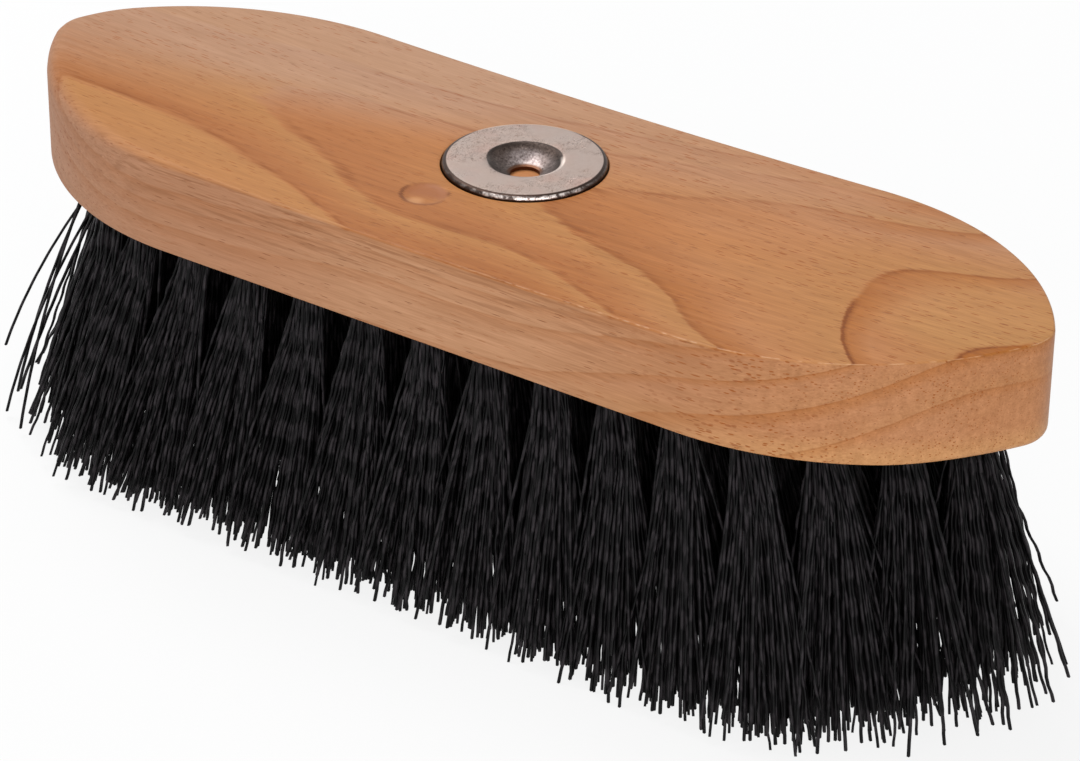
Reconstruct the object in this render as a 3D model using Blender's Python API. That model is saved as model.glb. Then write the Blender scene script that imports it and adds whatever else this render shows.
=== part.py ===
"""Dandy brush: a wooden block with a disc let into its back and tufts of stiff filament.

Lengths are in metres. +X runs along the block, +Z points up through its back, and Z = 0 is
the plane on which the trimmed filament stands. The origin lies under the middle of the block.
"""
import math

import bmesh
import bpy
from mathutils import Vector

# Wooden block: parallel sides and long pointed ends, with a small nose at each tip.
block_length = 0.2032
block_width = 0.0635
block_straight_side = 0.1050
block_nose_radius = 0.00715
block_middle_thickness = 0.0167
block_end_rise = 0.0023
block_lower_edge_round = 0.0015
block_upper_edge_round = 0.0008
dent_diameter = 0.0084
dent_depth = 0.0008
dent_offset_x = -0.0097
dent_offset_y = -0.0140

# Disc in the back: a flat ring, dished towards its central hole, with rounded edges.
disc_diameter = 0.0284
disc_thickness = 0.0032
disc_proud_height = 0.0008
disc_edge_round = 0.0010
disc_dish_diameter = 0.0130
disc_dish_depth = 0.0025
disc_hole_diameter = 0.0055
disc_offset_x = -0.0026
disc_offset_y = 0.0051
adhesive_thickness = 0.0004
adhesive_inner_margin = 0.0016
adhesive_outer_margin = 0.0010

# Tufts: an outer row that follows the block's edge, and two straight rows inside it.
filament_free_length = 0.0508
tuft_hole_diameter = 0.00635
tuft_hole_depth = 0.0105
tuft_collar_length = 0.0006
tuft_edge_inset = 0.00635
tuft_end_inset = 0.0136
inner_row_end_space = 0.0157
side_splay = 0.0082
end_splay = 0.0145
tuft_tip_space = 0.0012
strand_thickness = 0.0020
strand_tip_thickness = 0.0017
strand_wave = 0.0003
longest_to_shortest = 0.0034
standing_cut_depth = 0.0005

# Gap left between pieces that touch on the real brush, and how far a cutter runs past a face.
fit_gap = 0.0003
cutter_overrun = 0.0010

# Counts and shares.
outer_row_tufts = 32
inner_row_tufts = 12
side_steps = 6
end_arc_steps = 8
nose_steps = 3
round_steps = 3
disc_segments = 48
dish_steps = 3
dent_segments = 24
strands_per_tuft = 7
tip_reach_shares = (1.0, 0.55, 0.95, 0.62, 1.0, 0.50, 0.88)
strand_level_shares = (1 / 3, 2 / 3)
golden_share = (math.sqrt(5) - 1) / 2
sharp_edge_angle = math.radians(35)

# Sizes that follow from the ones above.
half_length = block_length / 2
half_width = block_width / 2
half_side = block_straight_side / 2
nose_centre_x = half_length - block_nose_radius
end_reach = nose_centre_x - half_side
end_arc_radius = (end_reach ** 2 + half_width ** 2 - block_nose_radius ** 2) / (
    2 * (half_width - block_nose_radius))
end_arc_centre_y = half_width - end_arc_radius
nose_start_angle = math.atan2(-end_arc_centre_y, end_reach)
block_base_z = filament_free_length
disc_radius = disc_diameter / 2
recess_depth = disc_thickness - disc_proud_height + adhesive_thickness + 2 * fit_gap
recess_floor_z = block_base_z + block_middle_thickness - recess_depth
adhesive_z = recess_floor_z + fit_gap
disc_z = adhesive_z + adhesive_thickness + fit_gap
tuft_hole_radius = tuft_hole_diameter / 2
tuft_root_radius = tuft_hole_radius - fit_gap
outer_row_y = half_width - tuft_edge_inset
inner_row_y = outer_row_y / 3
outer_row_x = half_length - tuft_end_inset
row_end_reach = outer_row_x - half_side
row_arc_radius = (row_end_reach ** 2 + outer_row_y ** 2) / (2 * outer_row_y)
row_arc_centre_y = outer_row_y - row_arc_radius
row_arc_end_angle = math.atan2(-row_arc_centre_y, row_end_reach)
row_quarter_length = half_side + row_arc_radius * (math.pi / 2 - row_arc_end_angle)


def clear_scene():
    for thing in list(bpy.data.objects):
        bpy.data.objects.remove(thing, do_unlink=True)


def make_material(name, colour, roughness, metallic):
    material = bpy.data.materials.new(name)
    material.use_nodes = True
    shader = material.node_tree.nodes["Principled BSDF"]
    shader.inputs["Base Color"].default_value = (*colour, 1.0)
    shader.inputs["Roughness"].default_value = roughness
    shader.inputs["Metallic"].default_value = metallic
    material.diffuse_color = (*colour, 1.0)
    return material


def lacquered_wood():
    return make_material("lacquered_wood", (0.58, 0.30, 0.13), 0.42, 0.0)


def nickel_plate():
    return make_material("nickel_plate", (0.52, 0.48, 0.45), 0.32, 1.0)


def clear_adhesive():
    return make_material("clear_adhesive", (0.72, 0.66, 0.48), 0.5, 0.0)


def black_filament(name):
    return make_material(name, (0.012, 0.011, 0.012), 0.45, 0.0)


def object_from_bmesh(name, bm, material=None):
    """Close a bmesh into a named object, with every face turned outwards."""
    bmesh.ops.recalc_face_normals(bm, faces=bm.faces)
    mesh = bpy.data.meshes.new(name)
    bm.to_mesh(mesh)
    bm.free()
    thing = bpy.data.objects.new(name, mesh)
    bpy.context.collection.objects.link(thing)
    if material is not None:
        mesh.materials.append(material)
    return thing


def shade_round(thing):
    thing.data.shade_smooth()
    thing.data.set_sharp_from_angle(angle=sharp_edge_angle)


def cut(thing, cutter):
    """Take the cutter's shape out of the object."""
    cutter.hide_render = True
    cutter.display_type = "WIRE"
    modifier = thing.modifiers.new("cut_" + cutter.name, "BOOLEAN")
    modifier.operation = "DIFFERENCE"
    modifier.solver = "EXACT"
    modifier.object = cutter


# The block

def quarter_outline(inset):
    """Points from the middle of the +Y side to the +X tip, drawn in from the edge by inset."""
    points = [(half_side * i / side_steps, half_width - inset) for i in range(side_steps)]
    for i in range(end_arc_steps + 1):
        angle = math.pi / 2 + (nose_start_angle - math.pi / 2) * i / end_arc_steps
        points.append((half_side + (end_arc_radius - inset) * math.cos(angle),
                       end_arc_centre_y + (end_arc_radius - inset) * math.sin(angle)))
    for i in range(1, nose_steps + 1):
        angle = nose_start_angle * (1 - i / nose_steps)
        points.append((nose_centre_x + (block_nose_radius - inset) * math.cos(angle),
                       (block_nose_radius - inset) * math.sin(angle)))
    return points


def block_outline(inset):
    """The closed outline, clockwise from the middle of the +Y side."""
    quarter = quarter_outline(inset)
    right = quarter + [(x, -y) for x, y in quarter[-2::-1]]
    left = [(-x, -y) for x, y in quarter[1:]] + [(-x, y) for x, y in quarter[-2:0:-1]]
    return right + left


def back_height(x):
    """Height of the back over the underside: lowest in the middle, rising to both ends."""
    return block_middle_thickness + block_end_rise * (x / half_length) ** 2


def block_rings():
    """Insets and heights of the rings from the underside's edge round to the back's edge."""
    rings = []
    for i in range(round_steps + 1):
        angle = math.pi / 2 * i / round_steps
        inset = block_lower_edge_round * (1 - math.sin(angle))
        height = block_lower_edge_round * (1 - math.cos(angle))
        rings.append([(x, y, height) for x, y in block_outline(inset)])
    for i in range(round_steps + 1):
        angle = math.pi / 2 * i / round_steps
        inset = block_upper_edge_round * (1 - math.cos(angle))
        drop = block_upper_edge_round * (1 - math.sin(angle))
        rings.append([(x, y, back_height(x) - drop) for x, y in block_outline(inset)])
    return rings


def back_faces(ring, quarter_count):
    """Strips across the back, each joining two mirrored pairs of the ring's points."""
    total = 4 * quarter_count
    for start in (0, 2 * quarter_count):
        mirror = 2 * quarter_count + 2 * start
        for i in range(start, start + quarter_count):
            corners = [ring[k % total] for k in (i, i + 1, mirror - i - 1, mirror - i)]
            yield list(dict.fromkeys(corners))


def build_block(tufts):
    bm = bmesh.new()
    rings = [[bm.verts.new(point) for point in ring] for ring in block_rings()]
    count = len(rings[0])
    for low, high in zip(rings, rings[1:]):
        for i in range(count):
            k = (i + 1) % count
            bm.faces.new((low[i], low[k], high[k], high[i]))
    bm.faces.new(rings[0])
    for corners in back_faces(rings[-1], count // 4):
        bm.faces.new(corners)
    block = object_from_bmesh("wooden_block", bm, lacquered_wood())
    block.location.z = block_base_z
    cut(block, tuft_hole_cutter(tufts))
    cut(block, disc_recess_cutter())
    cut(block, dent_cutter())
    shade_round(block)
    return block


def ring_of_points(centre, radius, count, phase, z):
    return [Vector((centre[0] + radius * math.cos(phase + math.tau * i / count),
                    centre[1] + radius * math.sin(phase + math.tau * i / count), z))
            for i in range(count)]


def add_prism(bm, centre, radius, count, phase, low_z, high_z):
    low = [bm.verts.new(p) for p in ring_of_points(centre, radius, count, phase, low_z)]
    high = [bm.verts.new(p) for p in ring_of_points(centre, radius, count, phase, high_z)]
    for i in range(count):
        k = (i + 1) % count
        bm.faces.new((low[i], low[k], high[k], high[i]))
    bm.faces.new(low)
    bm.faces.new(high)


def tuft_hole_cutter(tufts):
    """The blind holes drilled in the underside, one for each tuft."""
    bm = bmesh.new()
    for tuft in tufts:
        add_prism(bm, tuft["root"], tuft_hole_radius, 2 * strands_per_tuft, tuft["phase"],
                  block_base_z - cutter_overrun, block_base_z + tuft_hole_depth)
    return object_from_bmesh("tuft_hole_cutter", bm)


def disc_recess_cutter():
    bm = bmesh.new()
    add_prism(bm, (disc_offset_x, disc_offset_y), disc_radius + fit_gap, disc_segments, 0,
              recess_floor_z, block_base_z + back_height(half_length) + cutter_overrun)
    return object_from_bmesh("disc_recess_cutter", bm)


def dent_cutter():
    """A ball that dips into the back and leaves a shallow round dent."""
    ball_radius = ((dent_diameter / 2) ** 2 + dent_depth ** 2) / (2 * dent_depth)
    bm = bmesh.new()
    bmesh.ops.create_uvsphere(bm, u_segments=dent_segments, v_segments=4 * dent_segments,
                              radius=ball_radius)
    cutter = object_from_bmesh("dent_cutter", bm)
    cutter.location = (dent_offset_x, dent_offset_y,
                       block_base_z + back_height(dent_offset_x) - dent_depth + ball_radius)
    return cutter


# The disc and the adhesive under it

def turned_ring(name, profile, segments, material):
    """Turn a closed profile of (radius, height) points about the vertical axis."""
    bm = bmesh.new()
    loops = []
    for i in range(segments):
        angle = math.tau * i / segments
        loops.append([bm.verts.new((r * math.cos(angle), r * math.sin(angle), z))
                      for r, z in profile])
    for a, b in zip(loops, loops[1:] + loops[:1]):
        for i in range(len(profile)):
            k = (i + 1) % len(profile)
            bm.faces.new((a[i], a[k], b[k], b[i]))
    thing = object_from_bmesh(name, bm, material)
    shade_round(thing)
    return thing


def rounded_corner(centre_r, centre_z, start_angle):
    """A quarter round of the disc's edge, from start_angle on."""
    angles = [start_angle + math.pi / 2 * i / round_steps for i in range(round_steps + 1)]
    return [(centre_r + disc_edge_round * math.cos(a), centre_z + disc_edge_round * math.sin(a))
            for a in angles]


def disc_profile():
    """Up the rounded rim, in over the flat face, down the dish and through the hole."""
    hole_radius = disc_hole_diameter / 2
    dish_radius = disc_dish_diameter / 2
    rim = disc_radius - disc_edge_round
    profile = rounded_corner(rim, disc_edge_round, -math.pi / 2)
    profile += rounded_corner(rim, disc_thickness - disc_edge_round, 0)
    for i in range(dish_steps + 1):
        angle = math.pi / 2 * i / dish_steps
        share = (math.sin(angle) + i / dish_steps) / 2
        profile.append((dish_radius - (dish_radius - hole_radius) * i / dish_steps,
                        disc_thickness - disc_dish_depth * share))
    profile.append((hole_radius, 0))
    return profile


def build_disc():
    disc = turned_ring("magnet_disc", disc_profile(), disc_segments, nickel_plate())
    disc.location = (disc_offset_x, disc_offset_y, disc_z)
    return disc


def build_adhesive():
    """A thin ring of adhesive between the disc and the floor of its recess."""
    inner = disc_hole_diameter / 2 + adhesive_inner_margin
    outer = disc_radius - adhesive_outer_margin
    profile = [(inner, 0), (outer, 0), (outer, adhesive_thickness), (inner, adhesive_thickness)]
    adhesive = turned_ring("disc_adhesive", profile, disc_segments, clear_adhesive())
    adhesive.location = (disc_offset_x, disc_offset_y, adhesive_z)
    return adhesive


# Where the tufts stand

def row_quarter_point(distance):
    """The point this far along the outer row from the middle of the +Y side."""
    if distance <= half_side:
        return distance, outer_row_y
    angle = max(math.pi / 2 - (distance - half_side) / row_arc_radius, row_arc_end_angle)
    return (half_side + row_arc_radius * math.cos(angle),
            row_arc_centre_y + row_arc_radius * math.sin(angle))


def outer_row_pitch():
    return 4 * row_quarter_length / outer_row_tufts


def outer_row_points():
    """Evenly spaced points all round the outer row, clockwise from the middle of a side."""
    half = 2 * row_quarter_length
    for i in range(outer_row_tufts):
        turn, rest = divmod(i * outer_row_pitch(), half)
        x, y = row_quarter_point(min(rest, half - rest))
        if rest > row_quarter_length:
            y = -y
        yield (-x, -y) if turn else (x, y)


def inner_row_pitch():
    """Spacing of an inner row that stops short of the outer row at both ends."""
    rise = inner_row_y - row_arc_centre_y
    reach = half_side + math.sqrt(row_arc_radius ** 2 - rise ** 2) - inner_row_end_space
    return 2 * reach / (inner_row_tufts - 1)


def inner_row_points(y):
    for i in range(inner_row_tufts):
        yield (i - (inner_row_tufts - 1) / 2) * inner_row_pitch(), y


def tip_reach(pitch):
    """How far a tuft's strands spread at the tips and still clear the next tuft."""
    return (pitch - tuft_tip_space - strand_tip_thickness) / 2


def splayed(x, y):
    """Where a point of the underside comes to at the level of the tips."""
    return (x * (1 + end_splay / outer_row_x),
            y * (1 + side_splay / outer_row_y))


def plan_tufts():
    """Name, root, tip centre, spread along X and Y, and turn of every tuft."""
    outer_reach = tip_reach(outer_row_pitch())
    inner_reach = tip_reach(inner_row_pitch())
    reach_to_middle = tip_reach(2 * splayed(0, inner_row_y)[1])
    rows = (
        ("outer", outer_row_points(), (outer_reach, outer_reach)),
        ("inner_left", inner_row_points(inner_row_y), (inner_reach, reach_to_middle)),
        ("inner_right", inner_row_points(-inner_row_y), (inner_reach, reach_to_middle)),
    )
    tufts = []
    for row, points, reach in rows:
        for number, (x, y) in enumerate(points, 1):
            tufts.append({
                "name": f"tuft_{row}_{number:02d}",
                "root": (x, y),
                "tip": splayed(x, y),
                "reach": reach,
                "phase": math.tau * golden_share * len(tufts),
                "index": len(tufts),
            })
    return tufts


# One tuft

def tip_height(tuft, strand):
    """Ragged tips: the longest are cut flat on the standing plane, the rest stop above it."""
    turn = (golden_share * (strand + strands_per_tuft * tuft["index"])) % 1
    return max(longest_to_shortest * turn ** 2 - standing_cut_depth, 0)


def strand_section(tuft, strand, height, thickness, wave):
    """A three-sided section of one strand, with one corner towards the tuft's middle."""
    start_z = block_base_z - tuft_collar_length
    share = (start_z - height) / start_z
    angle = tuft["phase"] + math.tau * (strand + 0.5) / strands_per_tuft
    outwards = Vector((math.cos(angle), math.sin(angle)))
    sideways = Vector((-outwards.y, outwards.x))
    root_reach = tuft_root_radius * 2 / 3
    spread = Vector([root_reach + (reach * tip_reach_shares[strand] - root_reach) * share
                     for reach in tuft["reach"]])
    root = Vector(tuft["root"])
    middle = root + (Vector(tuft["tip"]) - root) * share + outwards * spread + sideways * wave
    corners = []
    for turn in (math.pi, -math.pi / 3, math.pi / 3):
        corner = middle + (outwards * math.cos(turn) + sideways * math.sin(turn)) * thickness / 2
        corners.append((corner.x, corner.y, height))
    return corners


def add_strand(bm, tuft, strand, root_corners):
    """Draw one strand down from its sector of the root to its cut tip."""
    start_z = block_base_z - tuft_collar_length
    wave = strand_wave if (strand + tuft["index"]) % 2 else -strand_wave
    sections = []
    for share in strand_level_shares:
        sections.append((start_z * (1 - share), strand_thickness, wave))
        wave = -wave
    sections.append((tip_height(tuft, strand), strand_tip_thickness, 0))
    last = root_corners
    for height, thickness, sideways in sections:
        corners = [bm.verts.new(p)
                   for p in strand_section(tuft, strand, height, thickness, sideways)]
        for i in range(3):
            k = (i + 1) % 3
            bm.faces.new((last[i], last[k], corners[k], corners[i]))
        last = corners
    bm.faces.new(last)


def build_tuft(tuft):
    """The packed root that fills the hole, and the strands that spread from it."""
    start_z = block_base_z - tuft_collar_length
    root_top_z = block_base_z + tuft_hole_depth - fit_gap
    bm = bmesh.new()
    count = strands_per_tuft
    top = [bm.verts.new(p) for p in
           ring_of_points(tuft["root"], tuft_root_radius, count, tuft["phase"], root_top_z)]
    low = [bm.verts.new(p) for p in
           ring_of_points(tuft["root"], tuft_root_radius, count, tuft["phase"], start_z)]
    middle = bm.verts.new((*tuft["root"], start_z))
    bm.faces.new(top)
    for i in range(count):
        k = (i + 1) % count
        bm.faces.new((top[i], top[k], low[k], low[i]))
        add_strand(bm, tuft, i, (middle, low[i], low[k]))
    return object_from_bmesh(tuft["name"], bm, black_filament(tuft["name"] + "_filament"))


def main():
    clear_scene()
    tufts = plan_tufts()
    build_block(tufts)
    build_disc()
    build_adhesive()
    for tuft in tufts:
        build_tuft(tuft)
    print("tufts", len(tufts), "strands", len(tufts) * strands_per_tuft)


main()
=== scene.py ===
"""Dandy brush: the finished look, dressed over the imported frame.

Lengths are in metres in the frame's own axes. The growth rings and the materials work in
millimetres from the same origin.
"""

import math

import bpy
import numpy as np
from mathutils import Matrix, Vector
from mathutils.geometry import delaunay_2d_cdt


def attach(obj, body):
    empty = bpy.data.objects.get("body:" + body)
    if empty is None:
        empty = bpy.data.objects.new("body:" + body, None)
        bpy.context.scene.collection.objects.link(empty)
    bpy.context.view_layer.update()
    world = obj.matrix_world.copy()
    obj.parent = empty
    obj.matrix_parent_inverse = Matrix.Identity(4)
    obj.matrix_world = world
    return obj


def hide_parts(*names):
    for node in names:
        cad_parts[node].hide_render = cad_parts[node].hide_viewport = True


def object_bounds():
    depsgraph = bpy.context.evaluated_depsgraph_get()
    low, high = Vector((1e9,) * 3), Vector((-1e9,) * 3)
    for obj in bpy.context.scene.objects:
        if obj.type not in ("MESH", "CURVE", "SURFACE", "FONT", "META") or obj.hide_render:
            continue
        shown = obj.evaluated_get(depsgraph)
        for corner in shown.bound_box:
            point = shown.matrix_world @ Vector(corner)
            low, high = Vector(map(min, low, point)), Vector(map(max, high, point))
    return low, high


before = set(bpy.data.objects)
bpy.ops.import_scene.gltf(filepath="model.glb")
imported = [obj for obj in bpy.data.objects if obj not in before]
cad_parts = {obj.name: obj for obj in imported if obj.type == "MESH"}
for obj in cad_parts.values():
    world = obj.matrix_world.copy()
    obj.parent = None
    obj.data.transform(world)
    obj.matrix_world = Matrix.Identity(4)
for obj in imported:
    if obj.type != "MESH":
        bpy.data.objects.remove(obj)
cad_low, cad_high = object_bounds()

MM = 0.001

# Block. The outline is the one the frame's block has.
BLOCK_LENGTH = 0.2032
BLOCK_WIDTH = 0.0635
STRAIGHT_SIDE = 0.1050
NOSE_RADIUS = 0.00715
MIDDLE_THICKNESS = 0.0167
END_RISE = 0.00228
BASE_Z = 0.0508
HOLE_RADIUS = 0.003175
HOLE_DEPTH = 0.0105

# The back's edge is crisp, but softer at its near left end. The underside's is softer at the
# right end. Each pair of places says where that change starts and where it is complete.
UPPER_ROUND = 0.0005
UPPER_ROUND_LEFT = 0.0032
UPPER_ROUND_FROM_TO_X = (-0.030, -0.090)
UPPER_ROUND_FROM_TO_Y = (0.012, -0.004)
LOWER_ROUND = 0.0004
LOWER_ROUND_RIGHT = 0.0018
LOWER_ROUND_FROM_TO_X = (0.084, 0.099)

# The small round dent in the back.
DENT_CENTRE = (-0.0097, -0.0140)
DENT_RADIUS = 0.0043
DENT_FLAT_RADIUS = 0.0024
DENT_DEPTH = 0.00035

# Disc and the recess it lies in, with the boss that shows through its hole.
DISC_CENTRE = (-0.0026, 0.0051)
DISC_RADIUS = 0.0142
DISC_LOW_Z = 0.0651
DISC_TOP_Z = 0.0684
DISC_EDGE = 0.0008
DISC_HOLE_RADIUS = 0.0026
DISC_HOLE_LIP = 0.0002
RECESS_RADIUS = 0.0144
RECESS_WALL_Z = 0.0657
RECESS_FLOOR_Z = 0.0641
RECESS_RIM = 0.00025
BOSS_RADIUS = 0.0036
BOSS_FLARE = 0.0003
BOSS_Z = 0.0650

# The dish: radius and depth below the flat ring, from its soft lip down to the hole.
DISH = ((0.0071, 0.0), (0.0068, 0.00003), (0.0065, 0.00012), (0.0062, 0.00032),
        (0.0059, 0.00060), (0.0055, 0.00096), (0.0050, 0.00138), (0.0045, 0.00174),
        (0.0040, 0.00206), (0.0035, 0.00232), (0.0030, 0.00254), (0.0026, 0.00270))

# How finely the meshes are drawn, and from which angle on their edges are sharp.
SIDE_POINTS = 50
END_POINTS = 56
NOSE_POINTS = 8
LOWER_EDGE_STEPS = 6
SIDE_STEPS = 6
BACK_EDGE_STEPS = 5
BACK_STEPS = 64
RECESS_RIM_STEPS = 3
HOLE_STEPS = 28
DISC_STEPS = 128
SHARP_BLOCK = math.radians(38)
SHARP_DISC = math.radians(42)

# Filaments. Their roots fill the tuft's hole. The middle of their tips lies further out from
# the block's middle, by END_SPLAY for the end tufts and by SIDE_SPLAY along the sides.
TUFT_SEED = 1000
FILAMENTS_PER_TUFT = 112
FILAMENT_RADIUS = 0.00031
FILAMENT_RADIUS_RANGE = (0.92, 1.06)
FILAMENT_SIDES = 4
ROOT_SPREAD = 0.00260
ROOT_DEPTH = 0.0040
END_TUFT_INSET = 0.0136
END_SPLAY = 0.0145
SIDE_TUFT_INSET = 0.00635
SIDE_SPLAY = 0.0082

# A tuft's tips fill a soft square. In the outer row it reaches this far along the row, more
# so at the ends of the block, and this far across it. Inside it lies along X and Y. The pull
# draws all but its outermost tips back.
OUTER_TIPS_ALONG = (0.0080, 0.0090)
OUTER_TIPS_ALONG_FROM_TO = (0.055, 0.072)
OUTER_TIPS_ACROSS = 0.0056
INNER_TIPS = (0.0080, 0.0090)
TIP_SQUARENESS = 0.8
TIP_SCATTER = 0.0013
MIDDLE_PULL = 0.0012
END_PULL_LEFT = 0.0085
END_PULL_RIGHT = 0.0096
END_PULL_FROM_TO = (0.060, 0.084)
ROW_ARC_CENTRE_Y = -0.0121

# Some filaments have gone astray and cross their neighbours, though less so outwards.
STRAY_SHARE = 0.16
STRAY_SCATTER = 0.0036
STRAY_LIMIT = 0.007
STRAY_HELD_BACK = 0.7

# The cut ends are ragged above the plane that the brush stands on. A few reach it.
TIP_LIFT = 0.0011
TIP_RAGGED_SHAPE = 1.6
TIP_RAGGED_SCALE = 0.0011
TIP_RAGGED_LIMIT = 0.0080
LONGEST_SHARE = 0.05

# Crimps are half waves along each filament, roughly in the direction that its tuft leans.
# BEND is how much sooner than in a straight line a filament spreads.
LEVELS = 36
CRIMP = 0.00010
CRIMP_RANGE = (0.35, 1.5)
CRIMP_STRAY = 0.5
CRIMP_LOOSE = 0.2
CRIMP_PHASE = 0.35
CRIMP_PHASE_RANGE = (0.4, 1.6)
CRIMP_GROWTH = 6
SAME_SIDE_SHARE = 0.72
TUFT_LEAN = 0.8
LEAN_SCATTER = 0.35
BEND = 0.06
BEND_SCATTER = 0.10
BEND_LOOSE = 0.4
SWAY = 0.0004
BOX_MARGIN = 0.0001

# Tips of the few filaments that have worked loose at the left end: from the tuft at the tip,
# and from the one nearer than LOOSE_NEAR_Y.
LOOSE_TIPS_END = ((-0.1073, -0.0139, 0.0068), (-0.1005, -0.0185, 0.0012))
LOOSE_TIPS_NEAR = ((-0.0975, -0.0250, 0.0010), (-0.0910, -0.0286, 0.0012))
LOOSE_X = -0.080
LOOSE_END_Y = 0.003
LOOSE_NEAR_Y = -0.005

# Camera, fitted to the block's outline in the photograph.
HEADING = math.radians(34.777)
ELEVATION = math.radians(29.438)
ROLL = math.radians(0.6144)
CAMERA_DISTANCE = 0.7087
CAMERA_SHIFT_X = 0.003541
CAMERA_SHIFT_Y = -0.019529
FOCAL_PIXELS = 4148.3
PHOTO_WIDTH_PIXELS = 1080
SENSOR_WIDTH = 36.0
CLIP_RANGE = (0.05, 50.0)

# Studio.
FLOOR_HALF = 4.0
FLOOR_Z = -0.0002
FLOOR_PAINT = 0.86
FLOOR_GLOW_SHARE = 0.85
AMBIENT_COLOUR = (0.96, 0.98, 1.0)
AMBIENT_STRENGTH = 0.42
LAMP_TARGET = (0, 0, 0.05)
LAMPS = {
    "overhead": {"place": (-0.55, 0.15, 1.00), "size": (0.8, 0.8), "power": 9.2},
    "front": {"place": (0.80, -0.98, 0.45), "size": (1.2, 0.7), "power": 9.6},
}

HALF_LENGTH = BLOCK_LENGTH / 2
HALF_WIDTH = BLOCK_WIDTH / 2
HALF_SIDE = STRAIGHT_SIDE / 2
NOSE_X = HALF_LENGTH - NOSE_RADIUS
END_REACH = NOSE_X - HALF_SIDE
END_RADIUS = (END_REACH ** 2 + HALF_WIDTH ** 2 - NOSE_RADIUS ** 2) / (
    2 * (HALF_WIDTH - NOSE_RADIUS))
END_CENTRE_Y = HALF_WIDTH - END_RADIUS
NOSE_ANGLE = math.atan2(-END_CENTRE_Y, END_REACH)
GOLDEN_ANGLE = math.pi * (3 - math.sqrt(5))
FAN = np.array((END_SPLAY / (HALF_LENGTH - END_TUFT_INSET),
                SIDE_SPLAY / (HALF_WIDTH - SIDE_TUFT_INSET)))


# Small sums

def blend(a, b, share):
    return a + (b - a) * share


def eased(value, low, high):
    share = np.clip((value - low) / (high - low), 0, 1)
    return share * share * (3 - 2 * share)


# Node trees

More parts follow.
